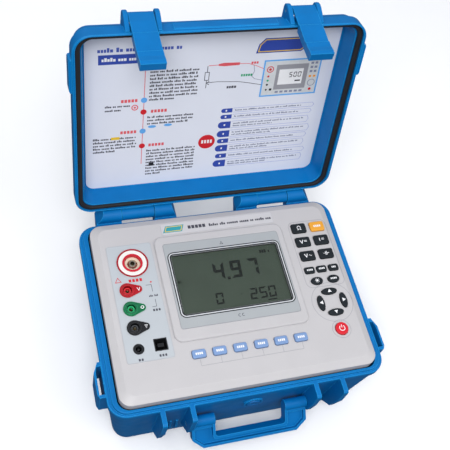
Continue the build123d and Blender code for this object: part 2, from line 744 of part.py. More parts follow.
with BuildPart() as line_socket_insulator:
    rod(Plane.XY.offset(79.0), LINE_AT, LINE_RING_IN - PIN_GAP, 18.4)
    rod(Plane.XY.offset(78.0), LINE_AT, LINE_CONTACT_R + PIN_GAP, 22.0, mode=Mode.SUBTRACT)
    chamfer(line_socket_insulator.edges().group_by(Axis.Z)[-1], 0.5)
save(line_socket_insulator.part, "line_socket_insulator")

with BuildPart() as line_socket_contact:
    rod(Plane.XY.offset(79.0), LINE_AT, LINE_CONTACT_R, 19.6)
    chamfer(line_socket_contact.edges().group_by(Axis.Z)[-1], 1.6)
    rod(Plane.XY.offset(68.0), LINE_AT, 2.4, 12.0)
    with BuildSketch(Plane.XY.offset(88.0)):
        with Locations(LINE_AT):
            Rectangle(10.0, 0.7)
            Rectangle(0.7, 10.0)
    extrude(amount=10.0, mode=Mode.SUBTRACT)
    rod(Plane.XY.offset(82.0), LINE_AT, 2.05, 20.0, mode=Mode.SUBTRACT)
save(line_socket_contact.part, "line_socket_contact")

with BuildPart() as dc_jack:
    rod(Plane.XY.offset(93.0), DC_AT, 5.0, 6.1)
    with BuildSketch(Plane.XY.offset(83.0)):
        with Locations(DC_AT):
            RectangleRounded(11.0, 13.0, 0.8)
    extrude(amount=PANEL_UNDER - 83.2)
    rod(Plane.XY.offset(87.0), DC_AT, 2.8, 14.0, mode=Mode.SUBTRACT)
    rod(Plane.XY.offset(86.5), DC_AT, 1.0, 11.0)
save(dc_jack.part, "dc_jack")

with BuildPart() as usb_port:
    with BuildSketch(Plane.XY.offset(82.0)):
        with Locations(USB_AT):
            Rectangle(USB_SIZE[0], USB_SIZE[1])
    extrude(amount=17.0)
    with BuildSketch(Plane.XY.offset(86.0)):
        with Locations(USB_AT):
            Rectangle(USB_SIZE[0] - 1.6, USB_SIZE[1] - 1.6)
            Rectangle(5.6, 3.2, mode=Mode.SUBTRACT)
    extrude(amount=14.0, mode=Mode.SUBTRACT)
    with BuildSketch(Plane.XY.offset(97.6)):
        with Locations(USB_AT):
            Rectangle(6.0, 4.0)
    extrude(amount=4.0, mode=Mode.SUBTRACT)
save(usb_port.part, "usb_port")


# ====================================================================== keys
def key(name, x, y, width, depth, outline):
    """Moulded key with a retaining flange under the panel."""
    with BuildPart() as piece:
        with BuildSketch(Plane.XY.offset(KEY_FOOT + 0.5)):
            with Locations((x, y)):
                key_outline(width, depth, outline)
        extrude(amount=KEY_TOP - KEY_FOOT - 0.5)
        fillet(piece.edges().group_by(Axis.Z)[-1], 0.8)
        with BuildSketch(Plane.XY.offset(KEY_FOOT)):
            with Locations((x, y)):
                key_outline(width, depth, outline, KEY_FLANGE)
        extrude(amount=PANEL_UNDER - 0.3 - KEY_FOOT)
    save(piece.part, name)


for key_name, place in KEYS.items():
    key(key_name, *place)

with BuildPart() as keypad_mat:
    with BuildSketch(Plane.XY.offset(MAT_TOP - 1.2)):
        with Locations((94.5, 2.0)):
            RectangleRounded(44.0, 134.0, 2.0)
        with Locations((8.0, -55.5)):
            Rectangle(129.6, 15.4)
    extrude(amount=1.2)
save(keypad_mat.part, "keypad_mat")

with BuildPart() as keypad_board:
    with BuildSketch(Plane.XY.offset(MAT_TOP - 1.2 - BOARD)):
        with Locations((94.5, 2.0)):
            RectangleRounded(44.8, 136.0, 1.0)
        with Locations((8.0, -55.5)):
            Rectangle(129.8, 16.4)
        with Locations((76.0, 64.0), (113.0, 64.0), (76.0, -62.0), (113.0, -62.0), (-53.0, -61.0)):
            Circle(1.6, mode=Mode.SUBTRACT)
    extrude(amount=BOARD)
save(keypad_board.part, "keypad_board")

# ================================================================= internals
with BuildPart() as main_board:
    with BuildSketch(Plane.XY.offset(49.5)):
        with Locations((30.0, 0.0)):
            RectangleRounded(160.0, 142.0, 2.0)
    extrude(amount=BOARD)
    # chips, relays and capacitors
    for x, y, wide, deep, tall in (
        (10.0, 20.0, 20.0, 20.0, 2.4),
        (48.0, 24.0, 14.0, 14.0, 2.0),
        (-25.0, 40.0, 28.0, 12.0, 11.0),
        (-25.0, 20.0, 28.0, 12.0, 11.0),
        (80.0, 30.0, 24.0, 16.0, 9.0),
        (20.0, -40.0, 34.0, 26.0, 14.0),
        (80.0, -40.0, 18.0, 30.0, 7.0),
    ):
        with BuildSketch(Plane.XY.offset(50.9)):
            with Locations((x, y)):
                Rectangle(wide, deep)
        extrude(amount=tall + 0.2)
save(main_board.part, "main_board")

with BuildPart() as high_voltage_module:
    slab(Plane.XY, (25.0, 52.0, 3.0), FLOOR, 44.0, at=(-87.0, 4.0))
    fillet(high_voltage_module.edges().group_by(Axis.Z)[-1], 1.5)
    with BuildSketch(Plane.XY.offset(43.5)):
        with Locations(*[(-97.1, y) for y in (44.2, 16.6, -2.3, -21.3)]):
            Circle(4.2)
    extrude(amount=4.0)
save(high_voltage_module.part, "high_voltage_module")

with BuildPart() as battery_cells:
    for column in range(4):
        for row in range(2):
            with BuildSketch(Plane.YZ.offset(-34.0 + 60.2 * row)):
                with Locations((-45.0 + 30.0 * column, FLOOR + 13.1)):
                    Circle(13.1)
            extrude(amount=58.0)
            with BuildSketch(Plane.YZ.offset(24.0 + 60.2 * row)):
                with Locations((-45.0 + 30.0 * column, FLOOR + 13.1)):
                    Circle(4.5)
            extrude(amount=1.5)
save(battery_cells.part, "battery_cells")

with BuildPart() as buzzer:
    rod(Plane.XY.offset(51.1), (66.0, -4.0), 11.0, 9.0)
    rod(Plane.XY.offset(58.0), (66.0, -4.0), 1.5, 3.0, mode=Mode.SUBTRACT)
save(buzzer.part, "buzzer")

with BuildPart() as lead_wires:
    for top_x, top_y, top_z, foot_y in (
        (JACK_X, JACK_YS["red"], 70.0, JACK_YS["red"]),
        (JACK_X, JACK_YS["green"], 70.0, JACK_YS["green"]),
        (JACK_X, JACK_YS["black"], 70.0, JACK_YS["black"]),
        (LINE_AT[0], LINE_AT[1], 68.0, LINE_AT[1]),
    ):
        with BuildLine() as path:
            Spline(
                (top_x, top_y, top_z),
                (-97.1, foot_y, 47.5),
                tangents=((0, 0, -1), (0, 0, -1)),
            )
        with BuildSketch(Plane(origin=(top_x, top_y, top_z), z_dir=(0, 0, -1))):
            Circle(1.7)
        sweep(path=path.line)
save(lead_wires.part, "lead_wires")
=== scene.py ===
"""Looks of the insulation resistance tester: materials, printed detail, floor, light and camera.

Drawing on the faces is in millimetres, except on the lid's label, which has a unit of its own (LABEL_UNIT).
Lights, the camera and material grain are in metres.
"""

import json
import random
from math import cos, pi, radians, sin

import bmesh
import bpy
from mathutils import Matrix, Vector


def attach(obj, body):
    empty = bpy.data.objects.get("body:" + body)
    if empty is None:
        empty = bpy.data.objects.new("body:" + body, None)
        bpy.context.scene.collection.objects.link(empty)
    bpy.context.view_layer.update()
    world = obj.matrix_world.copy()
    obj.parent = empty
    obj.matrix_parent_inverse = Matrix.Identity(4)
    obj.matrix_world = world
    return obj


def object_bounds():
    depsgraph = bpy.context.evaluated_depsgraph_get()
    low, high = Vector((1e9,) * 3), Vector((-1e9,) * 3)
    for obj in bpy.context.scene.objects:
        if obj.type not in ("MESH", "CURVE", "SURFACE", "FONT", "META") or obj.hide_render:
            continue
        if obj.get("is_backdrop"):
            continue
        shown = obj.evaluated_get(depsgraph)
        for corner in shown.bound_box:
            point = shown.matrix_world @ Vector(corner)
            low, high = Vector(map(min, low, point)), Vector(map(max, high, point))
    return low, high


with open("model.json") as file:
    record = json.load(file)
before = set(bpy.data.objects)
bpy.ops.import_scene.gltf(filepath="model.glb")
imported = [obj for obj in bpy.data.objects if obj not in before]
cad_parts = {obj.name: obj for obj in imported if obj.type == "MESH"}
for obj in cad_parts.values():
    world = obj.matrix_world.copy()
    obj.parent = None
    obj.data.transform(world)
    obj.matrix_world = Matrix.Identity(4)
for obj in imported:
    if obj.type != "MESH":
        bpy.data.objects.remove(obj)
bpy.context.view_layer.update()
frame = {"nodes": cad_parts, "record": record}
nodes = frame["nodes"]

MM = 0.001
INK = 0.06                    # thickness of a printed layer, mm

# ------------------------------------------------------------------ places, mm
HINGE_Y = 105.4
HINGE_Z = 89.5
SEAL_Z = 89.2                 # gasket face of the shut lid
LEAN = radians(104.5)         # how far the lid is turned open
LABEL_DEPTH = 21.1            # depth of the label's printed face inside the lid
# heights of the faces that carry print
PANEL_Z = 98.4
JACK_LABEL_Z = 98.8
STRIP_Z = 98.7
BEZEL_Z = 100.95
KEY_Z = 100.2
LCD_Z = 98.6
JACK_PLATE_Z = 99.7           # also the white flange of the large socket
JACK_X = -97.1
JACK_Y = {"red": 16.6, "green": -2.3, "black": -21.3}
WINDOW = (2.8, 14.6)          # middle of the display window
WINDOW_HALF = (53.4, 31.2)
WINDOW_CORNER = 2.6
LINE_AT = (-87.4, 44.2)       # middle of the large socket
CONTACT_Z = 94.6              # top of the contacts in the small sockets


# ------------------------------------------------------------------- materials
def shader(name):
    """New material with its node tree, its links and its main shader."""
    material = bpy.data.materials.new(name)
    material.use_nodes = True
    tree = material.node_tree
    return material, tree, tree.links, tree.nodes["Principled BSDF"]


def noise(tree, scale, detail=2.0, stretch=(1, 1, 1)):
    """Noise over the piece itself; scale is in grains per metre."""
    place = tree.nodes.new("ShaderNodeTexCoord")
    stretcher = tree.nodes.new("ShaderNodeMapping")
    stretcher.inputs["Scale"].default_value = stretch
    texture = tree.nodes.new("ShaderNodeTexNoise")
    texture.inputs["Scale"].default_value = scale
    texture.inputs["Detail"].default_value = detail
    tree.links.new(place.outputs["Object"], stretcher.inputs["Vector"])
    tree.links.new(stretcher.outputs["Vector"], texture.inputs["Vector"])
    return texture.outputs["Fac"]


def spread(tree, value, low, high, start=0.3, end=0.7):
    """Maps a noise value from start..end to low..high."""
    node = tree.nodes.new("ShaderNodeMapRange")
    node.inputs["From Min"].default_value = start
    node.inputs["From Max"].default_value = end
    node.inputs["To Min"].default_value = low
    node.inputs["To Max"].default_value = high
    tree.links.new(value, node.inputs["Value"])
    return node.outputs["Result"]


def tones(tree, value, *stops):
    """Colour ramp over value; each stop is (position, colour)."""
    ramp = tree.nodes.new("ShaderNodeValToRGB")
    ramp.color_ramp.elements[0].position = stops[0][0]
    ramp.color_ramp.elements[0].color = (*stops[0][1], 1)
    ramp.color_ramp.elements[1].position = stops[-1][0]
    ramp.color_ramp.elements[1].color = (*stops[-1][1], 1)
    for position, colour in stops[1:-1]:
        ramp.color_ramp.elements.new(position).color = (*colour, 1)
    tree.links.new(value, ramp.inputs["Fac"])
    return ramp.outputs["Color"]


def shade(colour, factor):
    """The colour, lighter or darker by factor."""
    return tuple(min(1.0, part * factor) for part in colour)


def moulded(
    name, colour, rough, grain=1400, relief=0.00002, mottle=0.07,
    soften=0.0, painted_edge_light=None, coat=0.0, gloss=0.35,
):
    """Moulded plastic or rubber: fine grain, faint flow marks, softened edges and a highlight painted along
    them.

    grain is in grains per metre, relief is the height of the grain in metres, and mottle is
    how far the tone wanders. soften is the edge radius in metres; the argument after it is the
    colour painted along the edges as a highlight. coat is the weight of a clear coat, and gloss the strength
    of the reflection.
    """
    material, tree, links, main = shader(name)
    tint = tones(
        tree,
        noise(tree, 38, 5.0),
        (0.3, shade(colour, 1 - mottle)),
        (0.52, colour),
        (0.72, shade(colour, 1 + mottle)),
    )
    bump = tree.nodes.new("ShaderNodeBump")
    bump.inputs["Strength"].default_value = 0.55
    bump.inputs["Distance"].default_value = relief
    links.new(noise(tree, grain, 3.0), bump.inputs["Height"])
    links.new(bump.outputs["Normal"], main.inputs["Normal"])
    if soften:
        round_edge = tree.nodes.new("ShaderNodeBevel")
        round_edge.samples = 4
        round_edge.inputs["Radius"].default_value = soften
        links.new(round_edge.outputs["Normal"], bump.inputs["Normal"])
    # Painted highlight: near each edge the colour is mixed up to three quarters of the way towards the edge
    # colour, standing in for light caught by the rounded edge (a painted shade where the edge colour is
    # darker).
    if painted_edge_light:
        wide_edge = tree.nodes.new("ShaderNodeBevel")
        wide_edge.samples = 4
        wide_edge.inputs["Radius"].default_value = 1.5 * soften
        surface = tree.nodes.new("ShaderNodeNewGeometry")
        facing = tree.nodes.new("ShaderNodeVectorMath")
        facing.operation = "DOT_PRODUCT"
        links.new(wide_edge.outputs["Normal"], facing.inputs[0])
        links.new(surface.outputs["Normal"], facing.inputs[1])
        edge = spread(tree, facing.outputs["Value"], 0.75, 0.0, 0.88, 0.995)
        painted_highlight_mix = tree.nodes.new("ShaderNodeMix")
        painted_highlight_mix.data_type = "RGBA"
        links.new(edge, painted_highlight_mix.inputs["Factor"])
        links.new(tint, painted_highlight_mix.inputs["A"])
        painted_highlight_mix.inputs["B"].default_value = (*painted_edge_light, 1)
        tint = painted_highlight_mix.outputs["Result"]
    links.new(tint, main.inputs["Base Color"])
    links.new(spread(tree, noise(tree, 90, 4.0), rough - 0.06, rough + 0.07), main.inputs["Roughness"])
    main.inputs["Specular IOR Level"].default_value = gloss
    main.inputs["Coat Weight"].default_value = coat
    main.inputs["Coat Roughness"].default_value = 0.25
    return material


def metal(name, colour, rough, stretch=(1, 1, 1)):
    """Drawn or plated metal with fine lines along the long direction."""
    material, tree, links, main = shader(name)
    lines = noise(tree, 700, 4.0, stretch)
    links.new(tones(tree, lines, (0.3, shade(colour, 0.82)), (0.7, colour)), main.inputs["Base Color"])
    links.new(spread(tree, lines, rough - 0.08, rough + 0.1), main.inputs["Roughness"])
    main.inputs["Metallic"].default_value = 1.0
    bump = tree.nodes.new("ShaderNodeBump")
    bump.inputs["Strength"].default_value = 0.3
    bump.inputs["Distance"].default_value = 0.00001
    links.new(lines, bump.inputs["Height"])
    links.new(bump.outputs["Normal"], main.inputs["Normal"])
    return material


def ink(name, colour, rough=0.45):
    """Printed colour with the slight unevenness of screen print."""
    return moulded(name, colour, rough, grain=3500, relief=0.000006, mottle=0.05)


BLUE = (0.0005, 0.150, 0.435)
# painted highlight: lighter blue laid along the case's edges
BLUE_EDGE_HIGHLIGHT = (0.02, 0.35, 0.74)
PANEL_GREY = (0.500, 0.485, 0.495)
# In the entries below, the colour after the edge radius is painted along the edges as a highlight; on
# key_blue it is darker than the key, a painted shade.
paint = {
    "case_blue": moulded("case_blue", BLUE, 0.40, 1500, 0.00003, 0.07, 0.0008, BLUE_EDGE_HIGHLIGHT, gloss=0.16),
    "pin_steel": metal("pin_steel", (0.62, 0.63, 0.65), 0.28, (0.05, 1, 1)),
    "valve_plastic": moulded("valve_plastic", (0.001, 0.125, 0.38), 0.42, 1800, 0.00002, 0.05, 0.0004),
    "gasket_rubber": moulded("gasket_rubber", (0.012, 0.012, 0.015), 0.62, 900, 0.00004, 0.15),
    "label_film": moulded("label_film", (0.725, 0.745, 0.83), 0.38, 2600, 0.000008, 0.012, coat=0.2),
    "panel_grey": moulded("panel_grey", PANEL_GREY, 0.40, 1900, 0.00002, 0.02, 0.0007, (0.62, 0.61, 0.62)),
    "title_film": moulded("title_film", (0.545, 0.535, 0.55), 0.38, 2600, 0.000008, 0.012, coat=0.2),
    "label_film_panel": moulded(
        "label_film_panel", (0.455, 0.485, 0.515),
        0.36, 2600, 0.000008, 0.012, coat=0.2,
    ),
    "bezel_film": moulded("bezel_film", (0.375, 0.395, 0.41), 0.36, 2600, 0.000008, 0.015, coat=0.2),
    "lcd_face": moulded("lcd_face", (0.056, 0.078, 0.057), 0.42, 2400, 0.000005, 0.08),
    "holder_plastic": moulded("holder_plastic", (0.05, 0.05, 0.055), 0.5),
    "jack_red": moulded(
        "jack_red", (0.38, 0.005, 0.012), 0.30, 1600,
        0.00001, 0.06, 0.0004, (0.72, 0.08, 0.08),
    ),
    "jack_green": moulded(
        "jack_green", (0.003, 0.13, 0.05), 0.30, 1600,
        0.00001, 0.06, 0.0004, (0.05, 0.42, 0.17),
    ),
    "jack_black": moulded(
        "jack_black", (0.012, 0.013, 0.015), 0.38, 1600,
        0.00001, 0.10, 0.0004, (0.05, 0.05, 0.055), gloss=0.25,
    ),
    "contact_metal": metal("contact_metal", (0.55, 0.50, 0.38), 0.30),
    "nut_plastic": moulded("nut_plastic", (0.05, 0.05, 0.055), 0.5),
    "socket_white": moulded("socket_white", (0.80, 0.78, 0.74), 0.30, 1600, 0.00001, 0.02, 0.0004),
    "socket_cream": moulded("socket_cream", (0.72, 0.62, 0.48), 0.34, 1600, 0.00001, 0.04, 0.0004),
    "socket_red": moulded("socket_red", (0.58, 0.012, 0.03), 0.30, 1600, 0.00001, 0.06, 0.0004),
    "key_dark": moulded(
        "key_dark", (0.017, 0.021, 0.025), 0.48, 2200, 0.00002,
        0.08, 0.0006, (0.045, 0.05, 0.06), gloss=0.1,
    ),
    "key_amber": moulded(
        "key_amber", (0.78, 0.35, 0.035), 0.42, 2200,
        0.00002, 0.04, 0.0006, (0.86, 0.50, 0.12),
    ),
    "key_red": moulded(
        "key_red", (0.62, 0.010, 0.022), 0.38, 2200,
        0.00002, 0.05, 0.0006, (0.80, 0.09, 0.09),
    ),
    "key_blue": moulded(
        "key_blue", (0.19, 0.30, 0.53), 0.42, 2200,
        0.00002, 0.04, 0.0006, (0.11, 0.20, 0.47),
    ),
    "mat_rubber": moulded("mat_rubber", (0.12, 0.12, 0.13), 0.6),
    "board_green": moulded("board_green", (0.02, 0.20, 0.08), 0.35, 500, 0.00003, 0.2),
    "module_black": moulded("module_black", (0.03, 0.03, 0.035), 0.5),
    "cell_jacket": metal("cell_jacket", (0.55, 0.55, 0.57), 0.35, (0.05, 1, 1)),
    "wire_skin": moulded("wire_skin", (0.45, 0.03, 0.03), 0.5),
}


def clear_window():
    """Thin clear window: mostly see-through, with a polished face."""
    material, tree, links, main = shader("window_clear")
    main.inputs["Base Color"].default_value = (0.03, 0.035, 0.03, 1)
    main.inputs["Alpha"].default_value = 0.07
    links.new(spread(tree, noise(tree, 60, 3.0), 0.16, 0.24), main.inputs["Roughness"])
    return material


paint["window_clear"] = clear_window()

for row in frame["record"]["subparts"]:
    mesh = nodes[row["node"]].data
    mesh.materials.clear()
    mesh.materials.append(paint[row["material_slot"]])

# colours of the pieces drawn on the faces
inks = {
    "navy": ink("ink_navy", (0.030, 0.065, 0.36)),
    "title_blue": ink("ink_title_blue", (0.055, 0.10, 0.42)),
    "sky": ink("ink_sky", (0.12, 0.38, 0.78)),
    "lilac": ink("ink_lilac", (0.34, 0.38, 0.66)),
    "red": ink("ink_red", (0.60, 0.012, 0.022)),
    "dark_red": ink("ink_dark_red", (0.33, 0.008, 0.018)),
    "rose": ink("ink_rose", (0.70, 0.10, 0.12)),
    "green": ink("ink_green", (0.01, 0.34, 0.15)),
    "teal": ink("ink_teal", (0.03, 0.30, 0.36)),
    "yellow": ink("ink_yellow", (0.78, 0.52, 0.03)),
    "orange": ink("ink_orange", (0.85, 0.33, 0.03)),
    "white": ink("ink_white", (0.82, 0.82, 0.84)),
    "black": ink("ink_black", (0.012, 0.012, 0.016)),
    "text": ink("ink_text", (0.055, 0.055, 0.075)),
    "pale_text": ink("ink_pale_text", (0.22, 0.24, 0.34)),
    "grey": ink("ink_grey", (0.30, 0.30, 0.33)),
    "faint": ink("ink_faint", (0.42, 0.42, 0.45)),
    "silver": ink("ink_silver", (0.62, 0.64, 0.66), 0.28),
    "segment": ink("ink_segment", (0.004, 0.006, 0.005), 0.5),
    "segment_pale": ink("ink_segment_pale", (0.050, 0.070, 0.052), 0.4),
    # moulded collars and sleeves of the small sockets, lighter than the socket plastics: the lightness is a
    # painted highlight on the collar rims
    "collar_red": moulded("collar_red", (0.72, 0.030, 0.040), 0.30, 1600, 0.00001, 0.05),
    "collar_green": moulded("collar_green", (0.025, 0.46, 0.17), 0.30, 1600, 0.00001, 0.05),
    "collar_black": moulded("collar_black", (0.060, 0.064, 0.070), 0.34, 1600, 0.00001, 0.05),
}


# ------------------------------------------------------------- flat drawing kit
def bar(x0, y0, x1, y1):
    """Rectangle between two corners."""
    return [[(x0, y0), (x1, y0), (x1, y1), (x0, y1)]]


def arc(x, y, radius, start, end, steps):
    """Points on a circle from start to end, in degrees."""
    angles = [radians(start + (end - start) * step / steps) for step in range(steps + 1)]
    return [(x + radius * cos(angle), y + radius * sin(angle)) for angle in angles]


def disc(x, y, radius, stretch=1.0, steps=40):
    """Filled circle, or an ellipse when stretched in height."""
    return [[(px, y + (py - y) * stretch) for px, py in arc(x, y, radius, 0, 360, steps)[:-1]]]


def rounded(x0, y0, x1, y1, radius, steps=6):
    """Outline points of a rectangle with rounded corners."""
    points = []
    for x, y, start in (
        (x1 - radius, y1 - radius, 0),
        (x0 + radius, y1 - radius, 90),
        (x0 + radius, y0 + radius, 180),
        (x1 - radius, y0 + radius, 270),
    ):
        points += arc(x, y, radius, start, start + 90, steps)
    return points


def line(points, width, closed=False):
    """Stroke of even width along the points, mitred at its corners."""
    count = len(points)
    sides = []
    for index, (x, y) in enumerate(points):
        before = points[index - 1] if closed or index else None
        after = points[(index + 1) % count] if closed or index < count - 1 else None
        here = Vector((x, y))
        along_in = (here - Vector(before)).normalized() if before else None
        along_out = (Vector(after) - here).normalized() if after else None
        along_in = along_in or along_out
        along_out = along_out or along_in
        across = Vector((-(along_in.y + along_out.y), along_in.x + along_out.x)).normalized()
        reach = width / 2 / max(0.35, across.dot(Vector((-along_in.y, along_in.x))))
        sides.append((here + across * reach, here - across * reach))
    runs = count if closed else count - 1
    strips = []
    for index in range(runs):
        left, right = sides[index]
        next_left, next_right = sides[(index + 1) % count]
        strips.append([tuple(right), tuple(next_right), tuple(next_left), tuple(left)])
    return strips


def words(x0, y0, x1, height, seed, last=1.0):
    """A row of small marks that stands in for a line of text."""
    dice = random.Random(seed)
    marks = []
    x = x0
    end = x0 + (x1 - x0) * last
    while x < end:
        for _ in range(dice.randint(2, 7)):
            wide = height * dice.uniform(0.42, 0.62)
            if x + wide > end:
                break
            tall = height * dice.choice((0.66, 0.66, 0.7, 1.0))
            marks += bar(x, y0, x + wide, y0 + tall)
            x += wide + height * 0.14
        x += height * 0.5
    return marks


def letters(x0, y0, count, wide, height, gap):
    """A few equal blocks that stand in for a short word."""
    marks = []
    for place in range(count):
        x = x0 + place * (wide + gap)
        marks += bar(x, y0, x + wide, y0 + height)
    return marks


def digit(figure, x, y, wide, tall, stroke):
    """Seven-segment figure with mitred ends; x and y give its lower left corner."""
    lit = {"0": "abcdef", "2": "abged", "4": "fgbc", "5": "afgcd", "7": "abc", "9": "abcdfg"}[figure]
    half = stroke / 2
    mid = y + tall / 2
    gap = 0.12
    right = x + wide
    shapes = []
    for name, level, inward in (("a", y + tall, -1), ("d", y, 1)):
        if name in lit:
            inner = level + inward * stroke
            shapes.append([
                (x + gap, level), (right - gap, level),
                (right - stroke - gap, inner), (x + stroke + gap, inner),
            ])
    if "g" in lit:
        shapes.append([
            (x + gap, mid), (x + gap + half, mid - half), (right - half - gap, mid - half),
            (right - gap, mid), (right - half - gap, mid + half), (x + gap + half, mid + half),
        ])
    for name, edge, inward, end, way in (
        ("f", x, 1, y + tall, 1),
        ("e", x, 1, y, -1),
        ("b", right, -1, y + tall, 1),
        ("c", right, -1, y, -1),
    ):
        if name in lit:
            inner = edge + inward * stroke
            shapes.append([
                (edge, mid + way * gap), (edge + inward * half, mid + way * (half + gap)),
                (inner, mid + way * (half + gap)), (inner, end - way * (stroke + gap)),
                (edge, end - way * gap),
            ])
    lean = 0.07
    return [[(px + (py - y) * lean, py) for px, py in shape] for shape in shapes]


def move(shapes, dx, dy, size=1.0):
    """Shapes scaled about the origin and then moved."""
    return [[(x * size + dx, y * size + dy) for x, y in shape] for shape in shapes]


# ---------------------------------------------------------------- printed faces
def level_face(height):
    """Frame of a level face at that height: drawing right is +X and drawing up is +Y."""
    return Matrix.Translation((0, 0, height * MM)) @ Matrix.Scale(MM, 4)


def lid_face(depth):
    """Frame of a face inside the open lid; drawing up runs to the lid's free edge."""
    away = Vector((0, sin(LEAN), cos(LEAN)))
    up = Vector((0, -cos(LEAN), sin(LEAN)))
    hinge = Vector((0, HINGE_Y, HINGE_Z))
    middle = hinge + up * HINGE_Y + away * (SEAL_Z - HINGE_Z + depth)
    turn = Matrix((Vector((1, 0, 0)), up, -away)).transposed().to_4x4()
    return Matrix.Translation(middle * MM) @ turn @ Matrix.Scale(MM, 4)


def printed(name, shapes, face, colour, body, height=0.0, thickness=INK):
    """One printed layer: each shape becomes a thin closed prism on the face."""
    mesh = bmesh.new()
    for shape in shapes:
        low = [mesh.verts.new(face @ Vector((x, y, height))) for x, y in shape]
        high = [mesh.verts.new(face @ Vector((x, y, height + thickness))) for x, y in shape]
        count = len(shape)
        mesh.faces.new(high)
        mesh.faces.new(list(reversed(low)))
        for index in range(count):
            after = (index + 1) % count
            mesh.faces.new((low[index], low[after], high[after], high[index]))
    bmesh.ops.recalc_face_normals(mesh, faces=mesh.faces[:])
    data = bpy.data.meshes.new(name)
    mesh.to_mesh(data)
    mesh.free()
    data.materials.append(inks[colour])
    piece = bpy.data.objects.new(name, data)
    bpy.context.scene.collection.objects.link(piece)
    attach(piece, body)


# --------------------------------------------------------------- panel printing
label = level_face(JACK_LABEL_Z)
label_edge = rounded(-109.4, -54.0, -66.8, 64.2, 2.0)
printed("jack_label_border", line(label_edge, 0.35, True), label, "faint", "base")
printed(
    "line_caption",
    letters(-94.2, 24.6, 4, 2.3, 3.0, 1.1)
    + line([(-106.6, 26.0), (-103.9, 30.6), (-101.2, 26.0)], 0.55, True),
    label,
    "red",
    "base",
)
printed(
    "socket_brackets",
    line([(-79.4, 19.6), (-74.2, 19.6), (-74.2, 12.4)], 0.4)
    + line([(-73.4, 4.4), (-73.4, -3.0), (-77.4, -3.0)], 0.4)
    + words(-78.4, 7.2, -69.4, 2.0, 3)
    + letters(-77.4, -7.6, 3, 1.7, 2.2, 0.9)
    + letters(-99.2, -53.2, 2, 1.7, 2.2, 0.9)
    + letters(-80.3, -52.0, 3, 1.7, 2.2, 0.9),
    label,
    "text",
    "base",
)
printed("bracket_mark_red", disc(-74.0, 22.4, 0.8, steps=20), label, "red", "base")

strip = level_face(STRIP_Z)
printed("title_badge", [[(-52.0, 72.6), (-33.0, 72.6), (-30.0, 80.0), (-48.6, 80.0)]], strip, "teal", "base")
badge_inset = [(-49.8, 73.8), (-33.9, 73.8), (-31.9, 78.8), (-47.8, 78.8)]
printed("title_badge_line", line(badge_inset, 0.6, True), strip, "yellow", "base", INK)
printed(
    "title_marks",
    letters(-26.5, 74.4, 5, 2.9, 3.6, 0.8) + words(-5.0, 74.6, 60.5, 3.0, 11),
    strip,
    "text",
    "base",
)
printed("title_strip_border", line(rounded(-53.2, 70.2, 61.8, 82.6, 1.0), 0.3, True), strip, "faint", "base")

bezel = level_face(BEZEL_Z)
wx, wy = WINDOW


def window_line(grow, width):
    """Closed line round the display window, grown outward."""
    half_wide = WINDOW_HALF[0] + grow
    half_tall = WINDOW_HALF[1] + grow
    outline = rounded(wx - half_wide, wy - half_tall, wx + half_wide, wy + half_tall, WINDOW_CORNER + grow)
    return line(outline, width, True)


printed("window_border_outer", window_line(2.9, 1.0), bezel, "black", "base")
printed("window_border_silver", window_line(1.85, 0.95), bezel, "silver", "base")
printed("window_border_inner", window_line(0.75, 1.2), bezel, "black", "base")
printed("bezel_border", line(rounded(-55.9, -30.2, 60.7, 58.8, 2.2), 0.4, True), bezel, "grey", "base")
printed(
    "bezel_marks",
    line([(0.4, 51.9), (1.8, 54.6), (3.2, 51.9)], 0.4, True)
    + line(arc(1.0, -25.0, 1.3, 60, 300, 10), 0.45)
    + line(arc(4.6, -25.0, 1.3, 60, 300, 10), 0.45),
    bezel,
    "text",
    "base",
)

panel = level_face(PANEL_Z)
F_KEYS = (-45.1, -25.7, -6.1, 14.0, 33.5, 53.1)
stems = []
for x in F_KEYS:
    stems += line([(x, -60.2), (x, -66.3)], 0.35)
printed(
    "key_group_lines",
    line(rounded(75.2, -7.4, 115.4, 67.2, 6.0), 0.35, True)
    + line(arc(95.3, -24.8, 20.6, 0, 360, 60)[:-1], 0.35, True)
    + line(arc(95.5, -53.4, 9.2, 0, 360, 40)[:-1], 0.35, True)
    + line([(F_KEYS[0], -66.5), (F_KEYS[-1], -66.5)], 0.35)
    + stems,
    panel,
    "grey",
    "base",
)

# ---------------------------------------------------------------------- display
lcd = level_face(LCD_Z)
BIG = (10.8, 18.5, 3.0)
SMALL = (7.5, 11.8, 1.8)
reading = []
for figure, x in (("4", -13.4), ("9", 3.9), ("7", 21.2)):
    reading += digit(figure, x, 14.8, *BIG)
reading += bar(-0.4, 13.8, 2.6, 16.8)
for figure, x, y in (("0", -17.2, -10.4), ("2", 16.6, -10.4), ("5", 26.0, -10.4), ("0", 35.2, -10.4)):
    reading += digit(figure, x, y, *SMALL)
printed("lcd_figures", reading, lcd, "segment", "base", 0.01, 0.05)
printed(
    "lcd_small_marks",
    bar(-48.4, 16.6, -47.2, 19.6)
    + bar(-46.4, 16.6, -45.6, 19.6)
    + bar(33.0, -13.4, 42.0, -12.2)
    + words(38.0, 37.6, 49.6, 3.4, 21)
    + bar(8.0, -3.4, 9.2, -2.2),
    lcd,
    "segment",
    "base",
    0.01,
    0.05,
)
printed(
    "lcd_idle_marks",
    words(40.0, 16.0, 46.0, 2.4, 5) + bar(-38.0, 38.0, -12.0, 39.2) + bar(44.0, -4.0, 49.5, -2.2),
    lcd,
    "segment_pale",
    "base",
    0.01,
    0.05,
)

# ------------------------------------------------------------------- key signs
top = level_face(KEY_Z)
TRIANGLE = [[(-1.9, -1.4), (1.9, -1.4), (0, 1.9)]]


def turned(shapes, degrees):
    """Shapes turned about the origin."""
    c, s = cos(radians(degrees)), sin(radians(degrees))
    return [[(x * c - y * s, x * s + y * c) for x, y in shape] for shape in shapes]


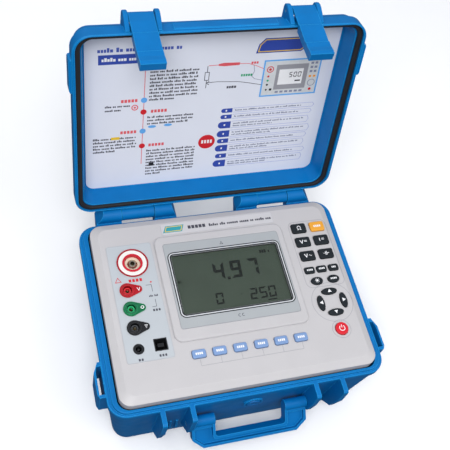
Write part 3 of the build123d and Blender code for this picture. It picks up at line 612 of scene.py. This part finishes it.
WAVE = [(-2.4 + 0.4 * step, 0.8 * sin(step / 12 * 2 * pi)) for step in range(13)]
VEE = line([(-3.4, 1.8), (-1.8, -1.8), (-0.2, 1.8)], 0.7)
TWO_BARS = line([(0.0, 1.0), (2.8, 1.0)], 0.5) + line([(0.0, -0.2), (2.8, -0.2)], 0.5)
OMEGA = line([(-2.2, -1.9), (-0.8, -1.9)] + arc(0, 0.5, 1.7, 240, -60, 16) + [(0.8, -1.9), (2.2, -1.9)], 0.6)
TWO_PLATES = bar(-0.9, -2.0, -0.3, 2.0) + bar(0.4, -2.0, 1.0, 2.0)
PLATE_LEADS = bar(-3.0, -0.25, -0.9, 0.25) + bar(1.0, -0.25, 3.1, 0.25)
RAYS = [shape for step in range(8) for shape in turned(bar(1.6, -0.18, 2.5, 0.18), 45 * step)]
SHORT_WORD = letters(-3.0, -0.9, 4, 1.1, 1.8, 0.5)
# place of each key and the sign on it
signs = {
    "key_ohm": (85.5, 59.2, OMEGA),
    "key_test": (105.2, 59.2, letters(-3.8, -1.1, 4, 1.5, 2.2, 0.5)),
    "key_ac_volts": (85.5, 43.3, VEE + move(TWO_BARS, 1.0, 0)),
    "key_current": (105.2, 43.3, bar(-2.4, -1.8, -1.7, 1.8) + TWO_BARS),
    "key_dc_volts": (85.5, 27.3, VEE + move(line(WAVE, 0.7), 2.6, -0.2, 0.62)),
    "key_capacitance": (105.2, 27.3, TWO_PLATES + PLATE_LEADS),
    "key_store": (82.6, 11.2, SHORT_WORD),
    "key_recall": (95.2, 11.2, SHORT_WORD),
    "key_clear": (107.9, 11.2, letters(-2.2, -0.9, 3, 1.1, 1.8, 0.5)),
    "key_backlight": (86.6, -1.0, disc(0, 0, 1.2, steps=24) + RAYS),
    "key_mode": (104.0, -1.0, letters(-3.2, -0.9, 4, 1.2, 1.8, 0.5)),
    "key_up": (95.3, -13.6, TRIANGLE),
    "key_down": (95.3, -36.0, turned(TRIANGLE, 180)),
    "key_left": (83.6, -24.8, turned(TRIANGLE, 90)),
    "key_right": (107.0, -24.8, turned(TRIANGLE, -90)),
    "key_power": (95.5, -53.4, line(arc(0, 0, 2.6, 125, 415, 26), 0.7) + bar(-0.35, 0.6, 0.35, 3.6)),
}
for number, x in enumerate(F_KEYS, 1):
    signs[f"key_f{number}"] = (x, -55.3, letters(-3.4, -1.1, 4, 1.3, 2.2, 0.5))
for name, (x, y, shapes) in signs.items():
    printed(f"{name}_sign", move(shapes, x, y), top, "white", name)

lobe = level_face(JACK_PLATE_Z)
LOBE_X = JACK_X + 10.4
lobe_signs = {
    "red": line([(-1.3, 1.5), (0, -1.5), (1.3, 1.5)], 0.6),
    "green": line(arc(0, 0, 1.3, 0, 360, 20)[:-1], 0.6, True),
    "black": bar(-1.5, 0.9, 1.5, 1.4) + bar(-1.0, -0.25, 1.0, 0.25) + bar(-0.5, -1.4, 0.5, -0.9),
}
for name, shapes in lobe_signs.items():
    printed(f"jack_{name}_sign", move(shapes, LOBE_X, JACK_Y[name]), lobe, "white", "base")

# raised collar round each small socket, lighter than the socket as a painted highlight on its rim, and the
# coloured sleeve over its contact in the same lighter colour
sleeve_foot = level_face(CONTACT_Z)
for name, y in JACK_Y.items():
    collar = line(arc(JACK_X, y, 5.6, 0, 360, 48)[:-1], 0.9, True)
    printed(f"jack_{name}_collar", collar, lobe, f"collar_{name}", "base", 0.0, 0.45)
    sleeve = line(arc(JACK_X, y, 2.75, 0, 360, 40)[:-1], 1.1, True)
    printed(f"jack_{name}_sleeve", sleeve, sleeve_foot, f"collar_{name}", "base", 0.01, 3.7)

# red outline on the white flange of the large socket, level with the small ones
flange_ring = line(arc(*LINE_AT, 14.2, 0, 360, 72)[:-1], 1.7, True)
printed("line_socket_outline", flange_ring, lobe, "dark_red", "base")

# ------------------------------------------------------------------ lid printing
LABEL_UNIT = 1.22             # places and sizes of the label's print are in units of this many mm
LABEL_FOOT = 83.7 * LABEL_UNIT    # height 0 of the print lies this far below the middle of the lid, mm


def label_to_mm(shapes):
    """Shapes drawn in the label's units, in millimetres about the lid's middle."""
    return [[(x * LABEL_UNIT, y * LABEL_UNIT - LABEL_FOOT) for x, y in shape] for shape in shapes]


inside = lid_face(LABEL_DEPTH)


def lid_print(name, shapes, colour, layer=0):
    """One printed layer on the lid label; higher layers lie on lower ones."""
    printed(name, label_to_mm(shapes), inside, colour, "lid", layer * INK)


def text_block(x0, x1, top_row, bottom_row, rows, height, seed, last=0.55):
    """Rows of text marks between two heights."""
    marks = []
    for index in range(rows):
        y = top_row + (bottom_row - top_row) * index / (rows - 1)
        marks += words(x0, y - height / 2, x1, height, seed + index, last if index == rows - 1 else 1.0)
    return marks


lid_print("lid_title", words(-87.5, 138.0, -26.0, 3.6, 40), "title_blue")
lid_print("lid_banner", [[(-87, 128.0), (-58, 128.0), (-55, 131.0), (-55, 136.0), (-87, 136.0)]], "navy")
lid_print("lid_banner_marks", words(-84.5, 130.6, -58.5, 3.0, 41), "white", 1)
lid_print(
    "lid_text",
    text_block(-49.0, -12.0, 120.0, 95.6, 9, 1.9, 50)
    + text_block(-82.0, -63.0, 91.5, 88.0, 2, 1.9, 60, 0.7)
    + text_block(-49.5, -13.0, 79.5, 73.5, 3, 1.9, 70, 0.9)
    + text_block(-91.0, -57.0, 61.5, 49.4, 5, 1.9, 80)
    + text_block(-49.0, -9.0, 47.0, 23.0, 9, 1.9, 90, 0.35)
    + words(11.0, 101.0, 20.5, 3.0, 99),
    "text",
)
lid_print("lid_ovals", disc(-45.5, 70.3, 3.2, 0.4) + disc(-33.0, 70.8, 3.2, 0.4), "sky")
lid_print("lid_key_patch", bar(-77.0, 60.2, -70.5, 62.8), "yellow", 1)
lid_print("lid_key_squares", bar(-46.5, 31.0, -42.5, 34.2), "black", 1)
lid_print(
    "lid_steps_line",
    bar(-52.95, 34.0, -52.45, 121.0)
    + line(arc(-59.5, 89.3, 2.2, 0, 360, 24)[:-1], 0.8, True)
    + disc(-59.5, 89.3, 0.9),
    "rose",
)
lid_print("lid_steps_blue", disc(-52.7, 95.5, 2.4) + disc(-52.7, 66.7, 2.4), "sky", 1)
lid_print("lid_steps_red", disc(-52.7, 84.7, 2.4) + disc(-52.7, 52.2, 2.4) + disc(0.1, 50.7, 6.9), "red", 1)
lid_print("lid_tips_marks", letters(-4.3, 49.3, 4, 1.6, 3.2, 0.8), "white", 2)
lid_print(
    "lid_headings",
    letters(-70.0, 94.3, 5, 1.9, 2.7, 0.7)
    + letters(-47.0, 83.5, 5, 1.9, 2.7, 0.7)
    + letters(-70.0, 65.3, 5, 1.9, 2.7, 0.7)
    + letters(-47.5, 51.1, 5, 1.9, 2.7, 0.7)
    + letters(28.2, 121.6, 3, 1.5, 2.0, 0.5),
    "rose",
)
lid_print("lid_lead_word", letters(21.2, 111.0, 5, 1.4, 2.0, 0.5), "green")
lid_print(
    "lid_circuit",
    line([(-5.7, 122.0), (-5.7, 116.5)], 0.5)
    + line([(-5.7, 109.5), (-5.7, 102.5)], 0.5)
    + line([(-7.3, 109.5), (-4.1, 109.5), (-4.1, 116.5), (-7.3, 116.5)], 0.5, True)
    + line([(-4.5, 107.3), (3.0, 107.6), (20.0, 106.5), (30.0, 104.4), (39.0, 102.2)], 0.45)
    + line([(-3.4, 105.4), (-5.7, 107.0), (-3.4, 108.6)], 0.5),
    "text",
)
lid_print(
    "lid_red_lead",
    line([(-5.0, 122.2), (2.5, 122.4)], 0.5)
    + [[(2.5, 121.6), (7.0, 121.0), (19.0, 121.4), (19.0, 123.6), (7.0, 124.0), (2.5, 123.2)]]
    + line([(19.0, 122.5), (26.0, 122.2), (32.0, 120.0), (39.0, 116.6)], 0.45),
    "rose",
)
lid_print(
    "lid_green_lead",
    line([(30.5, 120.6), (31.6, 115.0), (30.0, 110.6), (32.5, 108.2), (39.0, 106.4)], 0.4),
    "pale_text",
)
picture_edge = [(39.2, 91.4), (85.2, 91.4), (85.2, 123.4), (39.2, 123.4)]
lid_print("lid_picture_frame", line(picture_edge, 1.3, True), "sky")
lid_print("lid_picture_panel", bar(40.0, 92.2, 84.4, 122.6), "silver")
lid_print("lid_picture_display", bar(49.4, 96.8, 75.6, 119.2), "grey", 1)
lid_print("lid_picture_window", bar(52.0, 101.2, 72.0, 115.0), "white", 2)
lid_print(
    "lid_picture_figures",
    digit("5", 60.6, 107.6, 2.6, 4.6, 0.6)
    + digit("0", 64.2, 107.6, 2.6, 4.6, 0.6)
    + digit("0", 67.8, 107.6, 2.6, 4.6, 0.6)
    + bar(66.0, 103.6, 70.6, 104.8),
    "black",
    3,
)
picture_keys = []
for index in range(6):
    picture_keys += bar(51.2 + 4.0 * index, 93.6, 53.8 + 4.0 * index, 95.4)
for row_y in (118.4, 114.6, 110.8):
    for column_x in (77.4, 80.8):
        picture_keys += bar(column_x, row_y, column_x + 2.2, row_y + 2.0)
picture_keys += line(arc(80.4, 101.4, 2.9, 0, 360, 24)[:-1], 0.5, True)
lid_print("lid_picture_keys", picture_keys, "pale_text", 1)
lid_print("lid_picture_orange", bar(77.4, 106.4, 79.4, 108.2) + bar(81.0, 106.4, 83.0, 108.2), "orange", 1)
lid_print(
    "lid_picture_red",
    line(arc(44.4, 115.6, 2.5, 0, 360, 24)[:-1], 0.7, True)
    + disc(44.4, 115.6, 1.1)
    + disc(43.6, 109.4, 0.9)
    + disc(80.2, 95.4, 1.2),
    "red",
    1,
)
lid_print("lid_picture_green", disc(43.6, 105.6, 0.9), "green", 1)
lid_print(
    "lid_picture_black",
    disc(43.6, 101.8, 0.9) + bar(46.0, 96.2, 48.0, 98.2) + disc(43.4, 97.2, 0.8),
    "black",
    1,
)

# middle and height of each framed row of the list
tips = (
    (80.0, 4.0), (74.0, 4.0), (66.0, 6.5), (57.2, 6.5),
    (50.0, 4.5), (42.5, 6.5), (34.5, 4.5), (26.5, 7.0),
)
tabs = []
tab_marks = []
frames = []
tip_text = []
for index, (y, tall) in enumerate(tips):
    low, high = y - tall / 2, y + tall / 2
    right = 86.0 - 1.1 * (index % 3)
    tabs.append([(18.4, low), (18.4, high)] + arc(11.2, y, tall / 2, 90, 270, 10))
    tab_marks += bar(12.8, y - 0.8, 14.0, y + 0.8)
    frames += line([(19.0, high), (right, high), (right + 1.4, y), (right, low), (19.0, low)], 0.35)
    if tall > 5:
        tip_text += words(20.5, y + 0.4, right - 3.0, 1.5, 120 + index)
        tip_text += words(20.5, y - 2.0, right - 3.0, 1.5, 140 + index, 0.55)
    else:
        tip_text += words(20.5, y - 0.7, right - 3.0, 1.5, 120 + index, 0.9)
lid_print("lid_tabs", tabs, "navy")
lid_print("lid_tab_marks", tab_marks, "white", 1)
lid_print("lid_tip_frames", frames, "lilac")
lid_print("lid_tip_text", tip_text, "pale_text")
lid_badge = [(30.5, 130.5), (66.5, 130.5), (70.5, 134.0), (70.5, 143.0), (36.5, 143.0), (32.0, 138.0)]
lid_print("lid_badge", [lid_badge], "navy")
lid_badge_inset = [
    (32.3, 131.8), (66.0, 131.8), (69.2, 134.6), (69.2, 141.7), (37.2, 141.7), (33.3, 137.4),
]
lid_print("lid_badge_line", line(lid_badge_inset, 0.7, True), "yellow", 1)

# ------------------------------------------------------ floor, light and camera
floor_mesh = bpy.data.meshes.new("floor")
floor_mesh.from_pydata([(-4, -4, 0), (4, -4, 0), (4, 4, 0), (-4, 4, 0)], [], [(0, 1, 2, 3)])
floor = bpy.data.objects.new("floor", floor_mesh)
bpy.context.scene.collection.objects.link(floor)
floor_mesh.materials.append(moulded("floor_paint", (0.95, 0.95, 0.96), 0.7, 60, 0.00005, 0.005))
floor.visible_diffuse = False
floor.visible_glossy = False
floor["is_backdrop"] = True

world = bpy.data.worlds.new("studio")
bpy.context.scene.world = world
world.use_nodes = True
sky = world.node_tree
sky_place = sky.nodes.new("ShaderNodeTexCoord")
sky_axes = sky.nodes.new("ShaderNodeSeparateXYZ")
sky.links.new(sky_place.outputs["Generated"], sky_axes.inputs["Vector"])
# 0 straight down, 1 straight up: the world is darker below than above
sky_height = spread(sky, sky_axes.outputs["Z"], 0.0, 1.0, -1.0, 1.0)
BELOW = (0.10, 0.11, 0.12)
LEVEL = (0.32, 0.34, 0.37)
ABOVE = (0.62, 0.64, 0.67)
sky_colour = tones(sky, sky_height, (0.4, BELOW), (0.55, LEVEL), (0.9, ABOVE))
sky.links.new(sky_colour, sky.nodes["Background"].inputs["Color"])


def soft_light(name, place, target, size, watts):
    """Square area light at place, facing target."""
    data = bpy.data.lights.new(name, "AREA")
    data.size = size
    data.energy = watts
    lamp = bpy.data.objects.new(name, data)
    lamp.location = place
    lamp.rotation_euler = (Vector(target) - Vector(place)).to_track_quat("-Z", "Y").to_euler()
    bpy.context.scene.collection.objects.link(lamp)


MIDDLE = (0, 0.03, 0.12)      # the lights face this point, metres
soft_light("key_light", (-0.40, -0.62, 1.40), MIDDLE, 0.8, 15)
soft_light("fill_light", (0.9, -0.5, 1.1), MIDDLE, 1.0, 5)
soft_light("back_light", (-0.6, 1.0, 1.2), MIDDLE, 0.9, 3)

# metres, and millimetres for the lens
CAMERA_PLACE = Vector((-0.1993, -0.2945, 0.7443))
CAMERA_TARGET = Vector((0.0116, 0.0743, 0.0976))
CAMERA_ROLL = radians(18.75)
LENS = 62.1

forward = (CAMERA_TARGET - CAMERA_PLACE).normalized()
level = forward.cross(Vector((0, 0, 1))).normalized()
upright = level.cross(forward)
right = cos(CAMERA_ROLL) * level + sin(CAMERA_ROLL) * upright
up = cos(CAMERA_ROLL) * upright - sin(CAMERA_ROLL) * level
camera_data = bpy.data.cameras.new("camera")
camera_data.lens = LENS
camera_data.sensor_width = 36.0
camera = bpy.data.objects.new("camera", camera_data)
camera.matrix_world = Matrix.Translation(CAMERA_PLACE) @ Matrix((right, up, -forward)).transposed().to_4x4()
bpy.context.scene.collection.objects.link(camera)
bpy.context.scene.camera = camera
bpy.context.scene.view_settings.view_transform = "Standard"

low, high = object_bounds()
